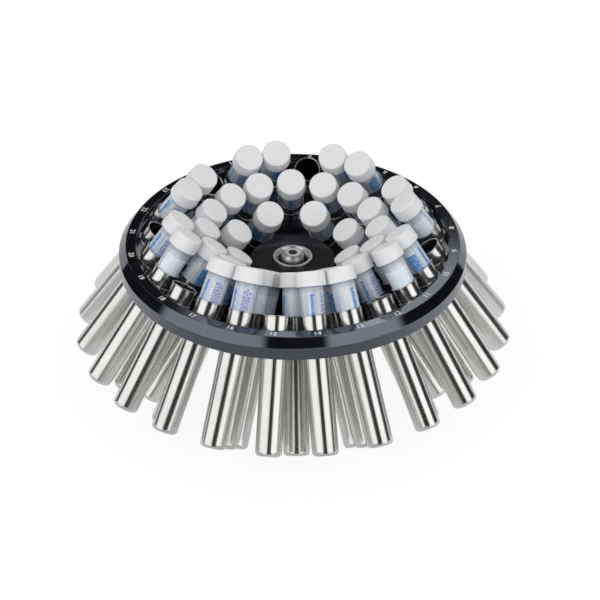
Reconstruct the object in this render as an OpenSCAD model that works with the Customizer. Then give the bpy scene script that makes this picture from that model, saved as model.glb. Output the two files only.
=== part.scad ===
// Fixed angle rotor for 48 conical centrifuge tubes in three rings.
// A dished body carries drawn steel sleeves that all lean inwards at one
// angle. The rotor stands on the closed ends of its inner sleeves: the origin
// is on the axis, in that standing plane, and +Z runs up the drive axis.

/* [Rotor body] */
// Outside diameter of the rim
rim_d = 250; // [246:0.5:262]
// Width of the flat, numbered top face of the rim
rim_face_w = 7.5; // [6:0.5:8]
// Width of the bevel outside the top face
rim_bevel_w = 5; // [3:0.5:5]
// Height of that bevel
rim_bevel_h = 6.4; // [4:0.2:8]
// Height of the upright wall below the bevel
rim_wall_h = 9.4; // [8:0.2:12]
// Fall from the top face to the sloping deck inside the rim
deck_drop = 3.1; // [2.5:0.1:4]
// Thickness of the sloping deck, square to its surface
deck_t = 10; // [7:0.5:12]

/* [Tube places] */
// Lean of every tube from the drive axis
tube_angle = 35; // [33:0.5:37]
// Radius at which the inner sleeves end at the bottom
inner_ring_r = 114; // [112:0.5:118]
// Step from one ring to the next, measured up the slope of the deck
ring_pitch = 23.4; // [22.5:0.1:24]
// Places in the outer ring
outer_n = 24; // [24]
// Places in the middle ring
middle_n = 16; // [16]
// Places in the inner ring
inner_n = 8; // [8]
// Outer places stay empty one in this many
empty_every = 3; // [2, 3, 4, 6, 8]

/* [Sleeves] */
// Outside diameter of a sleeve
sleeve_d = 18.6; // [18.2:0.1:19]
// Length of a sleeve
sleeve_len = 97.5; // [94:0.5:102]
// Wall of a sleeve
sleeve_wall = 0.6; // [0.4:0.1:0.7]
// Radius of the edge at its closed end
sleeve_edge_r = 3; // [2:0.5:4]
// Height up the sleeve of the bead that sits on the deck
bead_h = 84.1; // [83.5:0.1:84.5]

/* [Tubes] */
// Outside diameter of a tube
tube_d = 17; // [16.6:0.1:17]
// Length of a tube with its cap on
tube_len = 120; // [118:0.5:122]
// Length of the conical end
cone_len = 22; // [18:1:26]
// Wall of a tube
tube_wall = 1; // [0.8:0.1:1.4]
// Height of a cap
cap_h = 10.5; // [9:0.5:13]
// Diameter of a cap at its lower edge
cap_d = 21.7; // [21:0.1:21.8]
// Diameter of a cap at its top
cap_top_d = 20.4; // [19.6:0.1:20.4]
// Rubber left under the tip of a tube
cushion_t = 6.8; // [5:0.2:8]

/* [Hub] */
// Fall from the top face of the rim to the top of the hub
hub_drop = 14.5; // [12:0.5:18]
// Diameter of the flat top of the hub
hub_d = 60; // [50:1:62]
// Diameter of the steel flange round the nut
flange_d = 28.5; // [27:0.5:34]
// Diameter of the head of the nut
nut_d = 16.6; // [15:0.1:17]
// Width across the flats of its hexagon socket
socket_af = 6; // [5, 6, 8]
// Bore of the drive bush, for the motor shaft
shaft_d = 16; // [14:1:20]

/* [Hidden] */
ring_name = ["outer", "middle", "inner"];
ring_n = [outer_n, middle_n, inner_n];
ring_start = [0, 7.5, 30];                     // angle of place 1 in each ring
sleeve_r = sleeve_d / 2;
hole_r = sleeve_r + 0.05;                      // the holes in the body
bore_r = sleeve_r - sleeve_wall;
seat_r = bore_r - 0.2;                         // the narrower end that grips the cushion
lip_r = sleeve_r + 0.4;
lip_t = 1;
sleeve_floor = 1;
bead_r = sleeve_r + 0.7;
bead_t = 2;
facing_depth = 0.4;                            // flat cut in the deck under each bead
facing_r = bead_r + 0.15;

// The lowest point of a leaning sleeve is on its rounded edge.
stand_z = (sleeve_r - sleeve_edge_r) * sin(tube_angle) + sleeve_edge_r * (1 - cos(tube_angle));
ring_r = [for (i = [2, 1, 0]) inner_ring_r + i * ring_pitch * cos(tube_angle)];
ring_z = [for (i = [2, 1, 0]) stand_z + i * ring_pitch * sin(tube_angle)];

// Points on the deck: d is the distance up a sleeve's axis from its closed end.
function axis_r(ring, d) = ring_r[ring] - d * sin(tube_angle);
function axis_z(ring, d) = ring_z[ring] + d * cos(tube_angle);
rim_r = rim_d / 2;
face_out_r = rim_r - rim_bevel_w;
face_in_r = face_out_r - rim_face_w;
deck_d = bead_h + facing_depth;
function deck_z(r) = axis_z(0, deck_d) + (r - axis_r(0, deck_d)) * tan(tube_angle);
function under_z(r) = deck_z(r) - deck_t / cos(tube_angle);
top_z = deck_z(face_in_r) + deck_drop;
rim_low_z = top_z - rim_bevel_h - rim_wall_h;

// Heights in the hub, measured down from the top face of the rim
flange_top_z = top_z - hub_drop + 2;
hub_top_z = top_z - hub_drop;
nut_top_z = flange_top_z + 2.9;
nut_foot_z = hub_top_z - 9.5;                  // running face under the nut's collar
bush_low_z = hub_top_z - 16.5;
drive_top_z = hub_top_z - 25.5;
hub_low_z = top_z - 72;
drive_low_z = hub_low_z - 4;
hub_side_r = 36;                               // side of the hub where it leaves the deck
hub_low_r = 34.5;
bush_r = 12;
bush_bore_r = 10.6;
collar_r = 9.8;
collar_t = 3.9;
nut_shank_r = 6.45;
nut_low_z = drive_top_z + 2;
thread_r = 3.4;                                // tapping size of an M8 thread
thread_len = 12;
socket_depth = 5;
groove_depth = 0.6;
groove_low_z = nut_foot_z + collar_t + 0.1;
groove_gap = 0.02;
ring_t = 1.2;
ring_split = 4;                                // width of the snap ring's opening
web_bore_r = shaft_d / 2 + 1.5;                 // hole in the web between the two bushes
drive_r = 15;
spigot_h = 1;                                   // lip of the lower bush that centres it in the web's hole
drive_flange_r = 22;
fit = 0.02;                                    // clearance of pressed-in bushes

// Distances up a sleeve's axis for what stands in it
tip_d = sleeve_floor + cushion_t;
cushion_top = tip_d + 2.6;
seat_top = cushion_top + 0.2;                  // the sleeve's full bore starts here
cap_top_at = tip_d + tube_len;
cap_low_at = cap_top_at - cap_h;
cap_roof = 1.8;
neck_r = tube_d / 2 - 0.3;
mouth_at = cap_top_at - cap_roof;

function two(n) = n < 10 ? str("0", n) : str(n);
function sleeve_node(ring, n) = str("sleeve_", ring_name[ring], "_", two(n));
function is_full(ring, n) = ring > 0 || (n - 1) % empty_every != 0;
$fn = 72;

// An outline given as [x, y, radius] corners, each rounded by an arc.
function unit(v) = v / norm(v);
function xy(p) = [p[0], p[1]];
function corner(a, b, c, r, steps) =
    r <= 0 ? [b] :
    let (u = unit(a - b), w = unit(c - b),
         half = acos(u * w) / 2,
         centre = b + unit(u + w) * r / sin(half),
         from = b + u * r / tan(half) - centre,
         to = b + w * r / tan(half) - centre,
         start = atan2(from[1], from[0]),
         sweep = (atan2(to[1], to[0]) - start + 540) % 360 - 180)
    [for (i = [0:steps]) centre + r * [cos(start + sweep * i / steps), sin(start + sweep * i / steps)]];
function rounded(p, steps = 6) =
    [for (i = [0:len(p) - 1])
        each corner(xy(p[(i + len(p) - 1) % len(p)]), xy(p[i]), xy(p[(i + 1) % len(p)]), p[i][2], steps)];

// Children stand on a place's closed end, with +Z up the sleeve's axis.
module at_place(ring, n) {
    rotate([0, 0, ring_start[ring] + (n - 1) * 360 / ring_n[ring]])
        translate([ring_r[ring], 0, ring_z[ring]])
            rotate([0, -tube_angle, 0]) children();
}

// One turned piece: rim, sloping deck and hub, then 48 leaning holes, each
// with a flat faced round it for the sleeve's bead.
module rotor_body() {
    boss_foot_r = hub_d / 2 + 9;
    color("#15161a") difference() {
        rotate_extrude() polygon(rounded([
            [0, hub_top_z, 0],
            [hub_d / 2, hub_top_z, 1.5],
            [hub_d / 2 + 3.5, hub_top_z - 4, 1.5],
            [boss_foot_r, deck_z(boss_foot_r), 7],
            [face_in_r, deck_z(face_in_r), 1],
            [face_in_r, top_z, 0.4],
            [face_out_r, top_z, 0.5],
            [rim_r, top_z - rim_bevel_h, 0.6],
            [rim_r, rim_low_z, 0.8],
            [face_in_r - 1, rim_low_z, 0],
            [face_in_r - 1, under_z(face_in_r - 1), 0],
            [hub_side_r, under_z(hub_side_r), 4],
            [hub_low_r, hub_low_z, 1.5],
            [0, hub_low_z, 0]]));
        translate([0, 0, bush_low_z]) cylinder(r = bush_r + fit, h = hub_top_z);
        translate([0, 0, hub_low_z - 1]) cylinder(r = web_bore_r, h = hub_top_z - hub_low_z);
        translate([0, 0, hub_low_z - 1]) cylinder(r = drive_r + fit, h = drive_top_z - spigot_h - hub_low_z + 1);
        for (ring = [0:2]) for (n = [1:ring_n[ring]]) at_place(ring, n) {
            translate([0, 0, deck_d - 3 * deck_t]) cylinder(r = hole_r, h = 5 * deck_t);
            translate([0, 0, bead_h]) cylinder(r = facing_r, h = facing_r);
        }
    }
}

// Steel bush in the underside of the hub, bored for the motor shaft.
module drive_bush() {
    color("silver") rotate_extrude() polygon(rounded([
        [shaft_d / 2, drive_low_z + 1, 0],
        [shaft_d / 2 + 1, drive_low_z, 0],
        [drive_flange_r, drive_low_z, 0.8],
        [drive_flange_r, hub_low_z, 0],
        [drive_r, hub_low_z, 0],
        [drive_r, drive_top_z - spigot_h, 0],
        [web_bore_r - fit, drive_top_z - spigot_h, 0],
        [web_bore_r - fit, drive_top_z, 0],
        [shaft_d / 2, drive_top_z, 0]]));
}

// Flanged steel bush on top of the hub: the nut turns on its floor.
module hub_bush() {
    color("#b9bcc2") rotate_extrude() polygon(rounded([
        [nut_shank_r + 0.05, bush_low_z, 0],
        [bush_r, bush_low_z, 0],
        [bush_r, hub_top_z, 0],
        [flange_d / 2, hub_top_z, 0],
        [flange_d / 2, flange_top_z, 0.5],
        [flange_d / 2 - 1.9, flange_top_z, 0.2],
        [bush_bore_r, flange_top_z - 2.6, 0],
        [bush_bore_r, groove_low_z + ring_t + groove_gap, 0],
        [bush_bore_r + groove_depth, groove_low_z + ring_t + groove_gap, 0],
        [bush_bore_r + groove_depth, groove_low_z, 0],
        [bush_bore_r, groove_low_z, 0],
        [bush_bore_r, nut_foot_z - 0.05, 0],
        [nut_shank_r + 0.05, nut_foot_z - 0.05, 0]]));
}

// Snap ring in the bush's groove, open at one side, that keeps the nut in.
module retaining_ring() {
    color("#77797e") translate([0, 0, groove_low_z + groove_gap / 2]) difference() {
        cylinder(r = bush_bore_r + groove_depth - 0.05, h = ring_t);
        translate([0, 0, -1]) cylinder(r = nut_d / 2 + 0.5, h = ring_t + 2);
        translate([0, -ring_split / 2, -1]) cube([2 * bush_r, ring_split, ring_t + 2]);
    }
}

// Captive nut: domed head with a hexagon socket, collar, and a tapped shank.
module rotor_nut() {
    color("#d3d6da") difference() {
        rotate_extrude() polygon(rounded([
            [0, nut_low_z, 0],
            [nut_shank_r, nut_low_z, 0.8],
            [nut_shank_r, nut_foot_z, 0],
            [collar_r, nut_foot_z, 0],
            [collar_r, nut_foot_z + collar_t, 0],
            [nut_d / 2, nut_foot_z + collar_t, 0],
            [nut_d / 2, nut_top_z - 2, 1.2],
            [nut_d / 2 - 2.6, nut_top_z, 1.5],
            [0, nut_top_z, 0]]));
        translate([0, 0, nut_top_z - socket_depth])
            cylinder(d = socket_af / cos(30), h = 2 * socket_depth, $fn = 6);
        translate([0, 0, nut_low_z - 1]) cylinder(r = thread_r, h = thread_len + 1);
    }
}

// Drawn steel sleeve: rounded closed end, bead for the deck, rolled lip.
module sleeve() {
    color("#c9ccd0") rotate_extrude() polygon(rounded([
        [0, 0, 0],
        [sleeve_r, 0, sleeve_edge_r],
        [sleeve_r, bead_h, 0],
        [bead_r, bead_h, 0.2],
        [bead_r, bead_h + bead_t, 0.6],
        [sleeve_r, bead_h + bead_t, 0],
        [sleeve_r, sleeve_len - lip_t, 0],
        [lip_r, sleeve_len - lip_t, 0.3],
        [lip_r, sleeve_len, 0.4],
        [bore_r, sleeve_len, 0.5],
        [bore_r, seat_top, 0],
        [seat_r, seat_top, 0],
        [seat_r, sleeve_floor, sleeve_edge_r - sleeve_wall],
        [0, sleeve_floor, 0]], 4));
}

// Rubber pad in the closed end, with a well for the tip of the tube.
module cushion() {
    r = seat_r - 0.1;
    well_r = 4.6;
    rotate_extrude() polygon(rounded([
        [0, sleeve_floor, 0],
        [r - 2.2, sleeve_floor, 0],
        [r, sleeve_floor + 2.6, 2],
        [r, cushion_top, 0.5],
        [well_r, cushion_top, 0.5],
        [well_r - 1.2, tip_d, 0],
        [0, tip_d, 0]], 4));
}

// Conical tube, hollow, with a narrower neck inside its cap.
module conical_tube() {
    r = tube_d / 2;
    inner = r - tube_wall;
    shoulder_at = cap_low_at - 1.5;
    rotate_extrude() polygon(rounded([
        [0, tip_d, 0],
        [2.9, tip_d, 2],
        [r, tip_d + cone_len, 3],
        [r, shoulder_at, 0.2],
        [neck_r, shoulder_at + 0.5, 0],
        [neck_r, mouth_at, 0.3],
        [inner, mouth_at, 0.3],
        [inner, tip_d + cone_len + 0.4, 3],
        [2, tip_d + 1.4, 1.2],
        [0, tip_d + 1.4, 0]]));
}

// Screw cap with a slight draft, so that neighbours in the outer ring clear.
module cap() {
    rotate_extrude() polygon(rounded([
        [neck_r + 0.12, cap_low_at, 0.2],
        [cap_d / 2, cap_low_at, 0.4],
        [cap_top_d / 2, cap_top_at, 1],
        [0, cap_top_at, 0],
        [0, mouth_at, 0],
        [neck_r + 0.12, mouth_at, 0]]));
}

module sleeve_cushions() {
    color("#2b2b2d")
        for (ring = [0:2]) for (n = [1:ring_n[ring]]) at_place(ring, n) cushion();
}

module tubes(ring) {
    color("#a9bfd6")
        for (n = [1:ring_n[ring]]) if (is_full(ring, n)) at_place(ring, n) conical_tube();
}

module caps(ring) {
    color("#e4e4e6")
        for (n = [1:ring_n[ring]]) if (is_full(ring, n)) at_place(ring, n) cap();
}

rotor_body();
drive_bush();
hub_bush();
retaining_ring();
rotor_nut();
for (ring = [0:2]) for (n = [1:ring_n[ring]])
    at_place(ring, n) sleeve();
sleeve_cushions();
for (ring = [0:2]) {
    tubes(ring);
    caps(ring);
}
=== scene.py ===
"""Looks for a fixed angle rotor: finishes, numbers, tubes, print, caps and a studio."""
import math

import bpy
import numpy as np
from bpy.props import (FloatProperty, FloatVectorProperty, IntProperty,
                       PointerProperty)
from bpy.types import Operator, Panel, PropertyGroup
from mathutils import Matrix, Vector


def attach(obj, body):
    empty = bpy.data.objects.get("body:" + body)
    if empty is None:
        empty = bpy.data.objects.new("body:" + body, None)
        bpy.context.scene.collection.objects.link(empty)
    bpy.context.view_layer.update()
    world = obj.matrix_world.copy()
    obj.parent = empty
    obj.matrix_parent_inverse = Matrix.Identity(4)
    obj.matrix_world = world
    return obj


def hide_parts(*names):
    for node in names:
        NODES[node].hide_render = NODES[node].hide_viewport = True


bl_info = {
    "name": "Fixed angle rotor",
    "version": (1, 0, 0),
    "blender": (4, 5, 0),
    "location": "3D View > Sidebar > Rotor",
    "description": "Dresses a packed fixed angle rotor and sets up its studio",
    "category": "Object",
}

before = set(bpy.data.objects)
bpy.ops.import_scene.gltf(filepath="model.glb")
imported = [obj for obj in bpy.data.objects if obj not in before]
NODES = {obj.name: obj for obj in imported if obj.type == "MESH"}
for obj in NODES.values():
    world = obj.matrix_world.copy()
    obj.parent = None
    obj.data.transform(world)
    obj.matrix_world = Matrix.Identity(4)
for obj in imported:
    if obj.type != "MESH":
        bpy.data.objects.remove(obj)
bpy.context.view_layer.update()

BODY = "rotor"
RINGS = ("outer", "middle", "inner")
PLACES = (24, 16, 8)
FIRST_PLACE = tuple(math.radians(a) for a in (0.0, 7.5, 30.0))
EMPTY_EVERY = 3  # in the outer ring the first of every three places holds no tube
FIRST_NUMBER = 9  # painted at place 1; the numbers fall from place to place
FULL_TURN = 2 * math.pi
MM = 0.001

# Profiles are [radius, height, corner radius], in metres; heights run up a sleeve's axis.
CAP_LOW, CAP_TOP, MOUTH, TIP = 0.1173, 0.1278, 0.1260, 0.0078
NECK_R = 0.0082
NECK_GAP = 0.00012    # between a tube's neck and its cap
CONE_LENGTH = 0.022
TUBE_SIDES, CAP_SIDES_PER_RIB = 64, 2
RIB_DEPTH = 0.00009

# Print and paint, in metres.
PAINT_HALF = 0.00004  # the numbers reach this far under and over the rim's face
PRINT_SINK = 0.00001  # the print starts this far inside the tube's surface
PATCH_COAT, INK_COAT = 0.00002, 0.00003
PATCH_STEPS, INK_STEPS = 30, 4
DIGIT_SHARE = 0.7     # a digit's height, as a share of its font's size
ONE_DIGIT_WIDER, TWO_DIGITS_WIDER = 1.3, 1.07

DISH_EDGE = 0.078     # radius at which the duller finish of the dish starts
FLOOR_RINGS, FLOOR_SIDES, FLOOR_DROP = 24, 96, 0.0002
LAMP_AIM = (0, 0, 0.05)
DARK_GAP = 0.02       # strength of the world between the panels


# ---------------------------------------------------------------- settings
class RotorSizes(PropertyGroup):
    """Sizes of the rotor, the same as those of its solids."""
    tube_angle: FloatProperty(
        name="Tube angle", description="Lean of the tubes from the drive axis",
        default=math.radians(35), subtype="ANGLE")
    ring_radius: FloatProperty(
        name="Inner ring radius", description="Radius of the inner sleeves' closed ends",
        default=0.114, unit="LENGTH", precision=4)
    ring_pitch: FloatProperty(
        name="Ring pitch", description="Step from ring to ring up the slope of the deck",
        default=0.0234, unit="LENGTH", precision=4)
    sleeve_radius: FloatProperty(
        name="Sleeve radius", description="Outside radius of a sleeve",
        default=0.0093, unit="LENGTH", precision=4)
    sleeve_edge: FloatProperty(
        name="Sleeve edge", description="Radius of the edge at a sleeve's closed end",
        default=0.003, unit="LENGTH", precision=4)
    tube_radius: FloatProperty(
        name="Tube radius", description="Outside radius of a tube",
        default=0.0085, unit="LENGTH", precision=4)
    tube_wall: FloatProperty(
        name="Tube wall", description="Wall of a tube",
        default=0.001, unit="LENGTH", precision=4)
    cap_radius: FloatProperty(
        name="Cap radius", description="Radius of a cap at its lower edge",
        default=0.01085, unit="LENGTH", precision=5)
    cap_top_radius: FloatProperty(
        name="Cap top radius", description="Radius of a cap at its top",
        default=0.0102, unit="LENGTH", precision=5)
    cap_ribs: IntProperty(
        name="Cap ribs", description="Ribs round the side of a cap", default=72)
    rim_top: FloatProperty(
        name="Rim top", description="Height of the numbered face of the rim",
        default=0.109361, unit="LENGTH", precision=6)
    rim_radius: FloatProperty(
        name="Rim radius", description="Outside radius of the rim",
        default=0.125, unit="LENGTH", precision=4)
    face_radius: FloatProperty(
        name="Face radius", description="Radius of the middle of the numbered face",
        default=0.1163, unit="LENGTH", precision=4)
    digit_height: FloatProperty(
        name="Number height", description="Height of the numbers on the rim",
        default=0.0038, unit="LENGTH", precision=4)


def colour(name, text, value):
    return FloatVectorProperty(name=name, description=text, default=value, size=3,
                               min=0, max=1, subtype="COLOR")


class RotorColours(PropertyGroup):
    """Colours of the rotor's finishes, in linear light."""
    anodised: colour("Anodised body", "Black dye of the anodised body", (0.0022, 0.0026, 0.0038))
    sleeve: colour("Sleeve steel", "Polished steel of the sleeves", (0.76, 0.751, 0.733))
    bush: colour("Turned steel", "Turned steel of the bushes", (0.66, 0.67, 0.69))
    nut: colour("Nut steel", "Polished steel of the nut", (0.90, 0.90, 0.90))
    rubber: colour("Rubber", "Pads in the sleeves", (0.022, 0.022, 0.024))
    tube: colour("Tube plastic", "Clear plastic of the tubes", (0.86, 0.91, 0.96))
    cap: colour("Cap plastic", "White plastic of the caps", (0.80, 0.80, 0.81))
    ink: colour("Blue ink", "Scale and blocks printed on the tubes", (0.035, 0.20, 0.50))
    mark: colour("Violet ink", "Small marks printed on the tubes", (0.20, 0.23, 0.50))
    patch: colour("Writing patch", "Matt patch printed on the tubes", (0.62, 0.74, 0.82))
    numbers: colour("Numbers", "Paint of the numbers on the rim", (0.68, 0.68, 0.68))


class RotorStudio(PropertyGroup):
    """Camera and light."""
    camera_place: FloatVectorProperty(
        name="Camera", description="Place of the camera",
        default=(0.18945, -1.6712, 1.2119), size=3, unit="LENGTH")
    camera_aim: FloatVectorProperty(
        name="Aim", description="Point that the camera looks at",
        default=(0.00518, 0.00057, 0.0580), size=3, unit="LENGTH")
    lens: FloatProperty(
        name="Lens", description="Focal length on a 36 mm sensor, in millimetres", default=167.9)
    ambient: FloatProperty(
        name="Ambient", description="Strength of the light from all round", default=0.72)
    panel: FloatProperty(
        name="Panel", description="Strength of the panels that metal reflects", default=1.2)


def sizes():
    return bpy.context.scene.rotor_sizes


def colours():
    return bpy.context.scene.rotor_colours


def studio():
    return bpy.context.scene.rotor_studio


# ---------------------------------------------------------------- places
def place_values(ring):
    """Radius and height of a ring's closed sleeve ends."""
    s = sizes()
    lean, out = s.tube_angle, 2 - ring
    stand = (s.sleeve_radius - s.sleeve_edge) * math.sin(lean) + s.sleeve_edge * (1 - math.cos(lean))
    rise = s.ring_pitch * out
    return s.ring_radius + rise * math.cos(lean), stand + rise * math.sin(lean)


def place_frames(ring, numbers):
    """Turning matrices and origins of a ring's places of those numbers.

    A place's own +Z runs up its sleeve from the closed end, and its +X faces
    outwards: a turn by minus the lean about Y, a shift out to the ring, and a
    turn about the drive axis by the place's angle.
    """
    lean = sizes().tube_angle
    radius, height = place_values(ring)
    n = np.asarray(numbers)
    phi = FIRST_PLACE[ring] + (n - 1) * FULL_TURN / PLACES[ring]
    c, s, zero, one = np.cos(phi), np.sin(phi), np.zeros(len(n)), np.ones(len(n))
    about_z = np.stack([c, -s, zero, s, c, zero, zero, zero, one], 1).reshape(-1, 3, 3)
    cl, sl = math.cos(lean), math.sin(lean)
    about_y = np.array([[cl, 0, -sl], [0, 1, 0], [sl, 0, cl]])
    return about_z @ about_y, np.stack([radius * c, radius * s, height * one], 1)


def full_places(ring):
    """Numbers of the places that hold a tube."""
    return [n for n in range(1, PLACES[ring] + 1) if ring > 0 or (n - 1) % EMPTY_EVERY]


# ---------------------------------------------------------------- surfaces
def rounded(corners, steps=6):
    """An open outline of [x, y, radius] corners, with an arc of that radius in each inner corner."""
    points = [corners[0][:2]]
    for before, (x, y, r), after in zip(corners, corners[1:], corners[2:]):
        b = np.array([x, y])
        if r <= 0:
            points.append((x, y))
            continue
        u, w = (np.array(p[:2]) - b for p in (before, after))
        u, w = u / np.hypot(*u), w / np.hypot(*w)
        half = math.acos(float(np.clip(u @ w, -1, 1))) / 2
        middle = (u + w) / np.hypot(*(u + w))
        centre = b + middle * r / math.sin(half)
        start, end = (b + v * r / math.tan(half) - centre for v in (u, w))
        a0 = math.atan2(start[1], start[0])
        sweep = (math.atan2(end[1], end[0]) - a0 + math.pi) % FULL_TURN - math.pi
        a = a0 + sweep * np.linspace(0, 1, steps + 1)
        points.extend(zip(centre[0] + r * np.cos(a), centre[1] + r * np.sin(a)))
    points.append(corners[-1][:2])
    return np.array(points, float)


def lathe(outline, segments, swell=None):
    """A closed turned shell: point k of the outline goes round the axis as
    [(r_k + swell_k(v)) cos v, (r_k + swell_k(v)) sin v, z_k]. The outline
    starts and ends on the axis, where a fan closes it."""
    v = np.arange(segments) * FULL_TURN / segments
    r = outline[1:-1, 0][:, None] + (0 if swell is None else swell(outline[1:-1], v))
    r = np.broadcast_to(r, (len(outline) - 2, segments))
    z = np.broadcast_to(outline[1:-1, 1][:, None], r.shape)
    ring = np.stack([r * np.cos(v), r * np.sin(v), z], 2).reshape(-1, 3)
    ends = np.array([[0, 0, outline[0, 1]], [0, 0, outline[-1, 1]]])
    rows, i = len(outline) - 2, np.arange(segments)
    j = (i + 1) % segments
    k = np.arange(rows - 1)[:, None] * segments
    quads = np.stack([k + i, k + j, k + j + segments, k + i + segments], 2).reshape(-1, 4)
    first, last, base = rows * segments, rows * segments + 1, (rows - 1) * segments
    fans = np.concatenate([np.stack([np.full(segments, first), j, i], 1),
                           np.stack([np.full(segments, last), base + i, base + j], 1)])
    return np.concatenate([ring, ends]), [quads, fans]


def curved_slabs(radius, thickness, spans, steps=3):
    """Thin closed slabs on a cylinder. A span is [angle, angle, height, height]; its four
    edge lines run round as [r cos v, r sin v, z], with r on or above the cylinder."""
    spans = np.asarray(spans, float)
    t = np.linspace(0, 1, steps + 1)
    v = spans[:, :1] + (spans[:, 1:2] - spans[:, :1]) * t
    r = np.array([radius, radius + thickness, radius + thickness, radius])
    z = spans[:, [2, 2, 3, 3]]
    points = np.stack([np.cos(v)[:, :, None] * r, np.sin(v)[:, :, None] * r,
                       np.broadcast_to(z[:, None, :], v.shape + (4,))], 3)
    i, c = np.arange(steps)[:, None], np.arange(4)
    d = (c + 1) % 4
    side = np.stack([4 * i + c, 4 * i + 4 + c, 4 * i + 4 + d, 4 * i + d], 2).reshape(-1, 4)
    caps = np.array([[0, 1, 2, 3], [4 * steps + 3, 4 * steps + 2, 4 * steps + 1, 4 * steps]])
    one = np.concatenate([side, caps])
    faces = (one[None] + (np.arange(len(spans)) * 4 * (steps + 1))[:, None, None]).reshape(-1, 4)
    return points.reshape(-1, 3), [faces]


def spread(points, faces, frames):
    """The same shape at each frame: turning matrix times point, plus origin."""
    turn, origin = frames
    moved = np.einsum("pij,vj->pvi", turn, points) + origin[:, None, :]
    shift = np.arange(len(origin)) * len(points)
    grown = [(f[None] + shift[:, None, None]).reshape(-1, f.shape[1]) for f in faces]
    return moved.reshape(-1, 3), grown


def join(parts):
    """Several [points, faces] made one."""
    points, faces, at = [], [], 0
    for p, fs in parts:
        points.append(p)
        faces.extend(f + at for f in fs)
        at += len(p)
    return np.concatenate(points), faces


def piece(name, points, faces, material, slot, replaces=(), crease=35.0):
    """A named mesh that rides on the rotor."""
    mesh = bpy.data.meshes.new(name)
    mesh.from_pydata(points.tolist(), [], [f for group in faces for f in group.tolist()])
    mesh.shade_smooth()
    mesh.set_sharp_from_angle(angle=math.radians(crease))
    mesh.update()
    mesh.materials.append(material)
    thing = bpy.data.objects.new(name, mesh)
    bpy.context.scene.collection.objects.link(thing)
    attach(thing, BODY)
    if replaces:
        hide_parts(*replaces)
    return thing


# ---------------------------------------------------------------- shader maths
class Wire:
    """A node's output. Arithmetic on it adds Math nodes."""

    def __init__(self, finish, socket):
        self.finish, self.socket = finish, socket

    def maths(self, operation, *values):
        return self.finish.node("ShaderNodeMath", {"operation": operation}, dict(enumerate(values)))

    def __add__(self, other): return self.maths("ADD", self, other)
    def __radd__(self, other): return self.maths("ADD", other, self)
    def __sub__(self, other): return self.maths("SUBTRACT", self, other)
    def __rsub__(self, other): return self.maths("SUBTRACT", other, self)
    def __mul__(self, other): return self.maths("MULTIPLY", self, other)
    def __rmul__(self, other): return self.maths("MULTIPLY", other, self)
    def __truediv__(self, other): return self.maths("DIVIDE", self, other)
    def round(self): return self.maths("ROUND", self)
    def sine(self): return self.maths("SINE", self)
    def cosine(self): return self.maths("COSINE", self)
    def root(self): return self.maths("SQRT", self)
    def at_least(self, other): return self.maths("MAXIMUM", self, other)
    def angle_from(self, x): return self.maths("ARCTAN2", self, x)

    def step(self, low, high):
        """0 below low, 1 above high, smooth between; low may be the higher one."""
        return self.finish.node("ShaderNodeMapRange", {"interpolation_type": "SMOOTHSTEP"},
                                {"Value": self, "From Min": low, "From Max": high})

    def band(self, low, high, soft):
        """1 between low and high, falling to 0 over soft outside them."""
        return self.step(low - soft, low) * self.step(high + soft, high)


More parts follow.
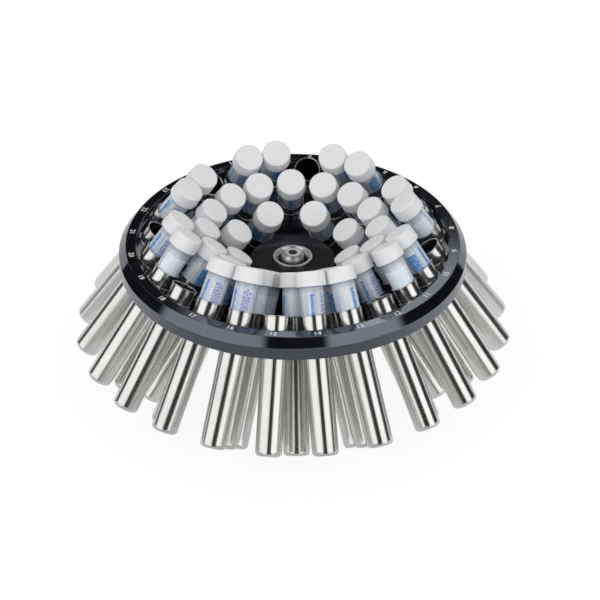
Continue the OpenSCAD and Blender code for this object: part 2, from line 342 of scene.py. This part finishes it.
class Finish:
    """A material, or the world, built from wires."""

    def __init__(self, name, owner=None):
        self.owner = owner or bpy.data.materials.new(name)
        self.owner.use_nodes = True
        self.tree = self.owner.node_tree
        self.tree.nodes.clear()

    def node(self, kind, settings=None, values=None, output=0):
        """Any node: its settings first, then values or wires by socket name or number."""
        made = self.tree.nodes.new(kind)
        for key, value in (settings or {}).items():
            if key == "stops":
                ramp = made.color_ramp
                while len(ramp.elements) < len(value):
                    ramp.elements.new(0.5)
                for element, (at, shade) in zip(ramp.elements, value):
                    element.position, element.color = at, (*shade, 1.0)
            else:
                setattr(made, key, value)
        for key, value in (values or {}).items():
            socket = made.inputs[key]
            if isinstance(value, Wire):
                self.tree.links.new(value.socket, socket)
            elif value is not None:
                socket.default_value = value
        made.label = kind.replace("ShaderNode", "")
        return Wire(self, made.outputs[output])

    def position(self):
        """x, y and z on the piece, in metres."""
        where = self.node("ShaderNodeTexCoord", output="Object")
        return where, [self.node("ShaderNodeSeparateXYZ", None, {0: where}, k) for k in range(3)]

    def vector(self, x, y, z):
        return self.node("ShaderNodeCombineXYZ", None, {0: x, 1: y, 2: z})

    def noise(self, at, scale, detail=3.0, rough=0.55):
        return self.node("ShaderNodeTexNoise", {"noise_dimensions": "3D"},
                         {"Vector": at, "Scale": scale, "Detail": detail, "Roughness": rough})

    def blend(self, share, a, b, way="MIX"):
        """Colour a, going to colour b as share goes from 0 to 1."""
        mix = self.tree.nodes.new("ShaderNodeMix")
        mix.data_type, mix.blend_type = "RGBA", way
        for socket, value in zip((mix.inputs[0], mix.inputs[6], mix.inputs[7]), (share, a, b)):
            if isinstance(value, Wire):
                self.tree.links.new(value.socket, socket)
            else:
                socket.default_value = value if isinstance(value, float) else (*value, 1.0)
        return Wire(self, mix.outputs[2])

    def bump(self, height, distance, strength=1.0):
        return self.node("ShaderNodeBump", None,
                         {"Height": height, "Distance": distance, "Strength": strength})

    def surface(self, colour, **values):
        """Ends the material in a Principled shader. Underscores in the names stand for spaces."""
        plain = {"Base Color": colour if isinstance(colour, Wire) else (*colour, 1.0)}
        plain.update({k.replace("_", " "): v for k, v in values.items()})
        shader = self.node("ShaderNodeBsdfPrincipled", None, plain)
        self.node_out(shader)
        return self.owner

    def node_out(self, shader):
        out = self.tree.nodes.new("ShaderNodeOutputMaterial")
        self.tree.links.new(shader.socket, out.inputs["Surface"])

    def place(self, ring):
        """Coordinates on the nearest sleeve of a ring: x outwards, y sideways and z up its
        axis, and the place's number from 0. The angle round the drive axis is folded to
        one place's share, and the rest is the place's own turn and shift, undone."""
        lean = sizes().tube_angle
        radius, height = place_values(ring)
        _, (x, y, z) = self.position()
        share = FULL_TURN / PLACES[ring]
        angle = y.angle_from(x)
        index = ((angle - FIRST_PLACE[ring]) / share).round()
        folded = angle - FIRST_PLACE[ring] - index * share
        r = (x * x + y * y).root()
        out, side, up = r * folded.cosine() - radius, r * folded.sine(), z - height
        cl, sl = math.cos(lean), math.sin(lean)
        return out * cl + up * sl, side, up * cl - out * sl, index


# ---------------------------------------------------------------- finishes
def anodised_finish():
    """Black anodised aluminium: fine turning marks, faint smudges and a worn line on each rim
    edge. The dish inside the sleeves is duller than the rim."""
    f = Finish("black_anodised")
    s = sizes()
    where, (x, y, z) = f.position()
    r = (x * x + y * y).root()
    turning = f.noise(f.vector(r * 2600.0, z * 2600.0, 0.0), 1.0, 2.0)
    smudge = f.noise(where, 38.0, 4.0)
    grain = f.noise(where, 2200.0, 2.0)
    worn = None
    for er, ez in ((s.rim_radius - 0.005, s.rim_top), (s.rim_radius, s.rim_top - 0.0064)):
        gap = ((r - er) * (r - er) + (z - ez) * (z - ez)).root()
        line = gap.step(0.00055, 0.0001)
        worn = line if worn is None else worn.at_least(line)
    worn = worn * smudge.step(0.35, 0.7)
    shade = f.blend(smudge.step(0.35, 0.75), tuple(colours().anodised), (0.0045, 0.005, 0.007))
    shade = f.blend(worn * 0.5, shade, (0.16, 0.165, 0.18))
    rough = 0.03 + smudge * 0.04 + turning * 0.01
    normal = f.bump(turning * 0.6 + grain * 0.4, 0.000004, 0.2)
    bright = f.node("ShaderNodeBsdfPrincipled", None, {
        "Base Color": shade, "Roughness": rough, "IOR": 1.78, "Specular IOR Level": 1.0,
        "Specular Tint": (0.79, 0.87, 1.0, 1.0), "Normal": normal})
    dull = f.node("ShaderNodeBsdfPrincipled", None, {
        "Base Color": shade, "Roughness": 0.3 + smudge * 0.1, "Specular IOR Level": 0.15,
        "Normal": normal})
    inside = r.step(DISH_EDGE, DISH_EDGE - 12 * MM) * 0.75
    f.node_out(f.node("ShaderNodeMixShader", None, {0: inside, 1: bright, 2: dull}))
    return f.owner


def sleeve_finish(ring):
    """Drawn and polished steel: fine streaks along the sleeve, soft smudges and scratches."""
    f = Finish("polished_sleeve_" + RINGS[ring])
    x, y, z, index = f.place(ring)
    seed = index * 7.31
    streaks = f.noise(f.vector(x * 2400.0 + seed, y * 2400.0, z * 14.0), 1.0, 2.0)
    smudge = f.noise(f.vector(x * 60.0 + seed, y * 60.0, z * 40.0), 1.0, 4.0)
    scratch = f.noise(f.vector(x * 500.0 + seed, y * 500.0, z * 2600.0), 1.0, 2.0).step(0.66, 0.74)
    tone = f.node("ShaderNodeTexWhiteNoise", {"noise_dimensions": "1D"}, {"W": index}) * 0.08
    base = tuple(colours().sleeve)
    shade = f.blend(smudge.step(0.3, 0.8), base, tuple(0.9 * c for c in base))
    shade = f.blend(tone + scratch * 0.12, shade, (0.45, 0.44, 0.42))
    rough = 0.14 + smudge * 0.06 + streaks * 0.06 + scratch * 0.08
    return f.surface(shade, Metallic=1.0, Roughness=rough,
                     Normal=f.bump(streaks * 0.7 + scratch * 0.3, 0.000003, 0.5))


def turned_finish(name, base, rough, depth, socket=0.0):
    """Turned steel: rings of tool marks about the drive axis, with faint clouding. Where a socket
    radius is given, shade is painted in the socket: it is darkened inside that radius."""
    f = Finish(name)
    where, (x, y, z) = f.position()
    r = (x * x + y * y).root()
    rings = f.noise(f.vector(r * 5200.0, z * 5200.0, 0.0), 1.0, 2.0)
    smudge = f.noise(where, 240.0, 3.0)
    shade = f.blend(smudge.step(0.3, 0.75), base, tuple(0.8 * c for c in base))
    if socket:
        # painted shade: the hollow of the socket is darkened inside its radius, standing in for the
        # shade in it
        shade = f.blend(r.step(socket, 0.8 * socket) * 0.7, shade, (0.10, 0.10, 0.10))
    return f.surface(shade, Metallic=1.0, Roughness=rough + rings * 0.1 + smudge * 0.06,
                     Normal=f.bump(rings, depth, 0.6))


def rubber_finish():
    """Moulded black rubber, a little chalky."""
    f = Finish("moulded_rubber")
    where, _ = f.position()
    chalk, grain = f.noise(where, 300.0, 4.0), f.noise(where, 3000.0, 2.0)
    shade = f.blend(chalk.step(0.4, 0.8), tuple(colours().rubber), (0.05, 0.05, 0.052))
    return f.surface(shade, Roughness=0.62 + chalk * 0.2, Normal=f.bump(grain, 0.00002, 0.5))


def cap_finish():
    """White moulded plastic: a very fine texture and faint clouding."""
    f = Finish("white_cap_plastic")
    where, _ = f.position()
    cloud, grain = f.noise(where, 110.0, 3.0), f.noise(where, 5200.0, 2.0)
    base = tuple(colours().cap)
    clouded = tuple(c * k for c, k in zip(base, (0.96, 0.965, 0.98)))
    shade = f.blend(cloud.step(0.35, 0.8), base, clouded)
    return f.surface(shade, Roughness=0.42 + cloud * 0.14, Specular_IOR_Level=0.35,
                     Normal=f.bump(grain, 0.00001, 0.35))


def tube_finish(ring):
    """Clear moulded plastic, milky, with painted highlights up the tube and a painted shade band under
    the cap.
    """
    f = Finish("clear_tube_plastic_" + RINGS[ring])
    x, y, z, index = f.place(ring)
    seed = index * 3.17
    highlight_streak = f.noise(f.vector(x * 260.0 + seed, y * 260.0, z * 18.0), 1.0, 3.0).step(0.46, 0.66)
    cloud = f.noise(f.vector(x * 230.0 + seed, y * 230.0, z * 12.0), 1.0, 3.0)
    shade = f.blend(cloud.step(0.40, 0.62), tuple(colours().tube), (0.58, 0.68, 0.79))
    # painted highlight: pale streaks up the tube stand in for light reflected and refracted in its wall
    shade = f.blend(highlight_streak * 0.85, shade, (0.97, 0.98, 1.0))
    # painted shade: a darker band on the tube just under the cap
    shade = f.blend(z.step(0.1120, 0.1155) * 0.5, shade, (0.42, 0.47, 0.56))
    return f.surface(shade, Roughness=0.16 + cloud * 0.12, Transmission_Weight=0.32, IOR=1.46,
                     Normal=f.bump(highlight_streak, 0.00001, 0.2))


def ink_finish(name, base, gloss=0.35):
    """Screen-printed ink with an uneven coat."""
    f = Finish(name)
    where, _ = f.position()
    coat, speck = f.noise(where, 1100.0, 3.0), f.noise(where, 420.0, 2.0)
    shade = f.blend(coat.step(0.3, 0.85), base, tuple(min(1.0, 1.5 * c + 0.05) for c in base))
    return f.surface(shade, Roughness=gloss + speck * 0.2, Normal=f.bump(coat, 0.000006, 0.4))


def coat_node(name, material):
    """Gives a CAD node its finish."""
    NODES[name].data.materials.clear()
    NODES[name].data.materials.append(material)


# ---------------------------------------------------------------- operators
class ROTOR_OT_body(Operator):
    """Black anodised finish of the turned body"""
    bl_idname = "rotor.body"
    bl_label = "Body finish"

    def execute(self, context):
        coat_node("rotor_body", anodised_finish())
        return {"FINISHED"}


class ROTOR_OT_numbers(Operator):
    """Place numbers, counted clockwise on the flat face of the rim, readable from outside"""
    bl_idname = "rotor.numbers"
    bl_label = "Rim numbers"

    def execute(self, context):
        s = sizes()
        parts = []
        for n in range(1, PLACES[0] + 1):
            painted = (FIRST_NUMBER - n) % PLACES[0] + 1
            points, faces = self.number(str(painted), s.digit_height)
            phi = FIRST_PLACE[0] + (n - 1) * FULL_TURN / PLACES[0]
            out = np.array([math.cos(phi), math.sin(phi), 0.0])
            side = np.array([-math.sin(phi), math.cos(phi), 0.0])
            centre = out * s.face_radius + np.array([0, 0, s.rim_top])
            placed = centre + np.outer(points[:, 0], side) - np.outer(points[:, 1], out)
            parts.append((placed + np.outer(points[:, 2], (0, 0, 1)), faces))
        points, faces = join(parts)
        paint = ink_finish("number_paint", tuple(colours().numbers), 0.5)
        piece("rim_numbers", points, faces, paint, "body")
        return {"FINISHED"}

    @staticmethod
    def number(text, height):
        """Flat text made a mesh, centred and widened, from a hair under the face to a hair above it."""
        curve = bpy.data.curves.new("digits", "FONT")
        curve.body, curve.size, curve.resolution_u = text, height / DIGIT_SHARE, 3
        curve.align_x, curve.align_y, curve.extrude = "CENTER", "CENTER", PAINT_HALF
        curve.offset = height * 0.012
        holder = bpy.data.objects.new("digits", curve)
        bpy.context.scene.collection.objects.link(holder)
        depsgraph = bpy.context.evaluated_depsgraph_get()
        mesh = bpy.data.meshes.new_from_object(holder.evaluated_get(depsgraph))
        points = np.empty(len(mesh.vertices) * 3)
        mesh.vertices.foreach_get("co", points)
        points = points.reshape(-1, 3)
        points[:, :2] -= (points[:, :2].min(0) + points[:, :2].max(0)) / 2
        points[:, 0] *= ONE_DIGIT_WIDER if len(text) == 1 else TWO_DIGITS_WIDER
        by_corners = {}
        for p in mesh.polygons:
            by_corners.setdefault(len(p.vertices), []).append(list(p.vertices))
        bpy.data.objects.remove(holder)
        return points, [np.array(v) for v in by_corners.values()]


class ROTOR_OT_hub(Operator):
    """Turned and polished finishes of the bushes, the nut and its snap ring"""
    bl_idname = "rotor.hub"
    bl_label = "Hub finishes"

    def execute(self, context):
        c = colours()
        turned = turned_finish("turned_steel", tuple(c.bush), 0.24, 0.000004)
        coat_node("hub_bush", turned)
        coat_node("drive_bush", turned)
        # the last value is the socket radius inside which shade is painted on the nut
        coat_node("rotor_nut", turned_finish("polished_nut", tuple(c.nut), 0.26, 0.0000004, 0.0034))
        spring = turned_finish("spring_steel", (0.13, 0.13, 0.135), 0.3, 0.000004)
        coat_node("retaining_ring", spring)
        return {"FINISHED"}


class ROTOR_OT_sleeves(Operator):
    """Polished steel of the sleeves and rubber of the pads in them"""
    bl_idname = "rotor.sleeves"
    bl_label = "Sleeve finishes"

    def execute(self, context):
        for ring, ring_name in enumerate(RINGS):
            material = sleeve_finish(ring)
            for n in range(1, PLACES[ring] + 1):
                coat_node("sleeve_%s_%02d" % (ring_name, n), material)
        coat_node("sleeve_cushions", rubber_finish())
        return {"FINISHED"}


class ROTOR_OT_tubes(Operator):
    """Clear conical tubes"""
    bl_idname = "rotor.tubes"
    bl_label = "Tubes"

    def execute(self, context):
        s = sizes()
        r, w, cone = s.tube_radius, s.tube_wall, CONE_LENGTH
        shoulder = CAP_LOW - 0.0015
        outline = rounded([
            [0, TIP, 0], [0.0029, TIP, 0.002], [r, TIP + cone, 0.003],
            [r, shoulder, 0.0002], [NECK_R, shoulder + 0.0005, 0], [NECK_R, MOUTH, 0.0003],
            [r - w, MOUTH, 0.0003], [r - w, TIP + cone + 0.0004, 0.003],
            [0.002, TIP + 0.0014, 0.0012], [0, TIP + 0.0014, 0]])
        points, faces = lathe(outline, TUBE_SIDES)
        for ring, name in enumerate(RINGS):
            placed = spread(points, faces, place_frames(ring, full_places(ring)))
            piece("clear_tubes_" + name, *placed, tube_finish(ring), "tube", ["tubes_" + name], 60)
        return {"FINISHED"}


class ROTOR_OT_print(Operator):
    """Scale, marks and writing patch printed on each tube"""
    bl_idname = "rotor.print"
    bl_label = "Tube print"

    def execute(self, context):
        rng = np.random.default_rng(15)
        kinds = {"blue": [], "violet": [], "patch": []}
        for ring in range(3):
            numbers = full_places(ring)
            turn, origin = place_frames(ring, numbers)
            for k, n in enumerate(numbers):
                chance = float(rng.uniform(0, 360))
                aim, fields = PRINT_TURN[ring].get(n, (chance, "bar ticks marks scale patch"))
                for kind, spans in self.print_layout(rng, fields.split()).items():
                    if not spans:
                        continue
                    spans = np.array(spans, float)
                    spans[:, :2] = np.radians(spans[:, :2] + aim)
                    spans[:, 2:] *= MM
                    patch = kind == "patch"
                    shape = curved_slabs(sizes().tube_radius - PRINT_SINK,
                                         PATCH_COAT if patch else INK_COAT, spans,
                                         PATCH_STEPS if patch else INK_STEPS)
                    kinds[kind].append(spread(*shape, (turn[k:k + 1], origin[k:k + 1])))
        c = colours()
        for kind, base in (("blue", c.ink), ("violet", c.mark), ("patch", c.patch)):
            ink = ink_finish("ink_" + kind, tuple(base))
            piece("tube_print_" + kind, *join(kinds[kind]), ink, "tube")
        return {"FINISHED"}

    @staticmethod
    def print_layout(rng, fields):
        """Spans [angle, angle, height, height] in degrees and millimetres, for one tube's fields."""
        bar, marks, scale = [], [], []
        for z in np.arange(88.0, 112.0, 1.5):
            bar.append([rng.uniform(-10, -7), rng.uniform(4, 10), z, z + rng.uniform(1.1, 1.4)])
        for row in range(3):
            z = 90.0
            while z < 111:
                tall = rng.uniform(0.9, 2.6)
                marks.append([42 + 13 * row, 53 + 13 * row, z, z + tall])
                z += tall + rng.uniform(0.5, 1.1)
        for row in range(4):
            z = 91.0
            while z < 110:
                tall = rng.uniform(0.8, 3.0)
                scale.append([-88 + 13 * row, -76 + 13 * row, z, z + tall])
                z += tall + rng.uniform(0.12, 0.5)
        ticks = [[14, 24 if i % 5 else 34, z, z + 0.35] for i, z in enumerate(np.arange(90, 113, 1.15))]
        spans = {"bar": bar, "ticks": ticks, "marks": marks, "scale": scale,
                 "patch": [[118, 238, 92, 110.5]]}
        return {kind: [x for name in names if name in fields for x in spans[name]]
                for kind, names in (("blue", ("bar", "scale")), ("violet", ("ticks", "marks")),
                                    ("patch", ("patch",)))}


# Turn of the print on its tube, in degrees, and the fields on it, ring by ring and place by place.
PRINT_TURN = (
    {2: (83, "patch marks scale"), 3: (68, "patch scale"), 14: (20, "bar ticks marks"),
     15: (-112, "patch scale"), 17: (-14, "bar ticks marks"), 18: (-33, "bar ticks marks"),
     20: (-8, "bar marks patch"), 21: (20, "bar marks patch"), 23: (128, "patch marks"),
     24: (-5, "bar scale patch")},
    {5: (179, "bar patch"), 13: (-61, "bar patch")},
    {},
)


class ROTOR_OT_caps(Operator):
    """White screw caps with fine ribs"""
    bl_idname = "rotor.caps"
    bl_label = "Caps"

    def execute(self, context):
        s = sizes()
        arc_steps, inner = 5, NECK_R + NECK_GAP
        outline = rounded([
            [0, CAP_TOP, 0], [s.cap_top_radius, CAP_TOP, 0.0011], [s.cap_radius, CAP_LOW, 0.0004],
            [inner, CAP_LOW, 0.0002], [inner, MOUTH, 0], [0, MOUTH, 0]], arc_steps)
        side = np.linspace(CAP_TOP - 0.0016, CAP_LOW + 0.0007, 6)
        slope = (s.cap_radius - s.cap_top_radius) / (CAP_TOP - CAP_LOW)
        rows = np.stack([s.cap_top_radius + (CAP_TOP - side) * slope, side], 1)
        at = 2 + arc_steps  # the axis point and the arc of the top edge come first
        outline = np.concatenate([outline[:at], rows, outline[at:]])[::-1]

        def ribs(rows, v):
            """Grooves between the ribs: depth (1 - cos(ribs v)) / 2, fading out at the side's ends."""
            z, outside = rows[:, 1], rows[:, 0] > s.cap_top_radius - 0.00001
            foot = np.clip((z - CAP_LOW - 0.0004) / 0.0008, 0, 1)
            top = np.clip((CAP_TOP - 0.0016 - z) / 0.0012, 0, 1)
            depth = -RIB_DEPTH * (foot * top) * outside
            return depth[:, None] * (0.5 - 0.5 * np.cos(s.cap_ribs * v))

        points, faces = lathe(outline, CAP_SIDES_PER_RIB * s.cap_ribs, ribs)
        material = cap_finish()
        for ring, name in enumerate(RINGS):
            placed = spread(points, faces, place_frames(ring, full_places(ring)))
            piece("screw_caps_" + name, *placed, material, "cap", ["caps_" + name], 50)
        return {"FINISHED"}


class ROTOR_OT_studio(Operator):
    """Pale floor, soft light and the camera"""
    bl_idname = "rotor.studio"
    bl_label = "Studio"

    def execute(self, context):
        st = studio()
        scene = context.scene
        scene.view_settings.view_transform = "Standard"
        place, aim = Vector(st.camera_place), Vector(st.camera_aim)
        data = bpy.data.cameras.new("camera")
        data.lens, data.sensor_width, data.clip_end = st.lens, 36.0, 50.0
        camera = bpy.data.objects.new("camera", data)
        scene.collection.objects.link(camera)
        camera.location = place
        camera.rotation_euler = (aim - place).to_track_quat("-Z", "Y").to_euler()
        scene.camera = camera
        self.floor(scene)
        self.lamp(scene, "key_panel", (-0.8, -1.7, 1.2), 1.4, 10.2)
        self.lamp(scene, "fill_panel", (1.3, -1.2, 1.1), 1.4, 6.0)
        self.world(scene, math.atan2(place[1], place[0]))
        return {"FINISHED"}

    @staticmethod
    def lamp(scene, name, place, size, power):
        data = bpy.data.lights.new(name, "AREA")
        data.size, data.energy = size, power
        thing = bpy.data.objects.new(name, data)
        scene.collection.objects.link(thing)
        thing.location = place
        aim = Vector(LAMP_AIM) - Vector(place)
        thing.rotation_euler = aim.to_track_quat("-Z", "Y").to_euler()
        thing.visible_glossy = False

    @staticmethod
    def floor(scene):
        """A wide flat disc, [r cos v, r sin v] with r growing from ring to ring, faintly clouded.
        It is pale to the eye; in reflections it holds painted shade, darker towards the camera's side."""
        r = np.geomspace(0.05, 12.0, FLOOR_RINGS)[:, None]
        v = np.arange(FLOOR_SIDES) * FULL_TURN / FLOOR_SIDES
        rings = np.stack([r * np.cos(v), r * np.sin(v), 0 * r * v], 2).reshape(-1, 3)
        points = np.concatenate([[[0, 0, 0]], rings])
        points[:, 2] -= FLOOR_DROP
        i = np.arange(FLOOR_SIDES)
        j = (i + 1) % FLOOR_SIDES
        k = 1 + np.arange(FLOOR_RINGS - 1)[:, None] * FLOOR_SIDES
        quads = np.stack([k + i, k + i + FLOOR_SIDES, k + j + FLOOR_SIDES, k + j], 2).reshape(-1, 4)
        fan = np.stack([0 * i, 1 + i, 1 + j], 1)
        mesh = bpy.data.meshes.new("floor")
        mesh.from_pydata(points.tolist(), [], quads.tolist() + fan.tolist())
        thing = bpy.data.objects.new("floor", mesh)
        scene.collection.objects.link(thing)
        f = Finish("pale_floor")
        where, _ = f.position()
        cloud = f.noise(where, 6.0, 3.0)
        shade = f.blend(cloud, (0.87, 0.87, 0.87), (0.90, 0.90, 0.90))
        lit = f.node("ShaderNodeBsdfDiffuse", None, {"Color": shade})
        glow = f.node("ShaderNodeEmission", None, {"Color": (1, 1, 1, 1), "Strength": 1.04})
        eye, through, shine = (f.node("ShaderNodeLightPath", output=n)
                               for n in ("Is Camera Ray", "Is Transmission Ray", "Is Glossy Ray"))
        seen = f.node("ShaderNodeMixShader", None, {0: eye.at_least(through) * 0.88, 1: lit, 2: glow})
        _, (_, y, _) = f.position()
        # painted shade: reflections see the floor darker towards the camera's side, as if it lay in
        # shade there
        tone = f.blend(y.step(-0.28, 0.05), (0.38, 0.38, 0.38), (0.9, 0.9, 0.9))
        mirrored = f.node("ShaderNodeEmission", None, {"Color": tone, "Strength": 1.0})
        f.node_out(f.node("ShaderNodeMixShader", None, {0: shine * 0.8, 1: seen, 2: mirrored}))
        mesh.materials.append(f.owner)

    @staticmethod
    def world(scene, towards):
        """Even light from all round; metal sees panels with dark gaps between them.
        An azimuth is counted from the camera's side, positive to its right."""
        st = studio()
        scene.world = bpy.data.worlds.new("studio")
        f = Finish("studio", scene.world)
        where = f.node("ShaderNodeTexCoord", output="Generated")
        x, y, z = (f.node("ShaderNodeSeparateXYZ", None, {0: where}, k) for k in range(3))
        c, s = math.cos(-towards), math.sin(-towards)
        azimuth = (x * s + y * c).angle_from(x * c - y * s) * (180 / math.pi)
        height = z.maths("ARCSINE", z) * (180 / math.pi)
        level = DARK_GAP
        for low, high, foot, top, soft, strength in PANELS:
            shape = azimuth.band(low, high, soft) * height.band(foot, top, soft)
            level = level + shape * (strength * st.panel)
        eye, shiny, through = (f.node("ShaderNodeLightPath", output=n)
                               for n in ("Is Camera Ray", "Is Glossy Ray", "Is Transmission Ray"))
        seen = eye.at_least(through)
        strength = shiny * level + (1.0 - shiny) * (seen + (1.0 - seen) * st.ambient)
        shine = f.node("ShaderNodeBackground", None, {"Color": (1, 1, 1, 1), "Strength": strength})
        out = f.tree.nodes.new("ShaderNodeOutputWorld")
        f.tree.links.new(shine.socket, out.inputs["Surface"])


# Azimuth from and to, height from and to and softness, in degrees, and share of the panels' strength.
PANELS = (
    (-86.0, -24.0, -6.0, 59.0, 8.0, 0.97),
    (28.0, 70.0, -6.0, 56.0, 8.0, 1.06),
    (148.0, 177.9, 33.6, 47.0, 0.5, 1.0),
    (177.9, 181.0, 34.9, 47.0, 0.5, 1.0),
    (-181.0, -177.6, 34.9, 47.0, 0.5, 1.0),
    (160.0, 181.0, 0.0, 26.0, 2.5, 0.5),
    (-181.0, -160.0, 0.0, 26.0, 2.5, 0.5),
)


class VIEW3D_PT_rotor(Panel):
    """Steps that dress the rotor, and their settings"""
    bl_idname = "VIEW3D_PT_rotor"
    bl_label = "Fixed angle rotor"
    bl_space_type = "VIEW_3D"
    bl_region_type = "UI"
    bl_category = "Rotor"

    def draw(self, context):
        for step in STEPS:
            self.layout.operator(step.bl_idname)
        for group in (sizes(), colours(), studio()):
            box = self.layout.box()
            for name in group.__annotations__:
                box.prop(group, name)


STEPS = (ROTOR_OT_studio, ROTOR_OT_body, ROTOR_OT_numbers, ROTOR_OT_hub, ROTOR_OT_sleeves,
         ROTOR_OT_tubes, ROTOR_OT_print, ROTOR_OT_caps)
GROUPS = (("rotor_sizes", RotorSizes), ("rotor_colours", RotorColours), ("rotor_studio", RotorStudio))


def register():
    for name, group in GROUPS:
        bpy.utils.register_class(group)
        setattr(bpy.types.Scene, name, PointerProperty(type=group))
    for step in (*STEPS, VIEW3D_PT_rotor):
        bpy.utils.register_class(step)


def unregister():
    for step in reversed((*STEPS, VIEW3D_PT_rotor)):
        bpy.utils.unregister_class(step)
    for name, group in reversed(GROUPS):
        delattr(bpy.types.Scene, name)
        bpy.utils.unregister_class(group)


def main():
    register()
    for step in STEPS:
        area, name = step.bl_idname.split(".")
        getattr(getattr(bpy.ops, area), name)()


if __name__ == "__main__":
    main()
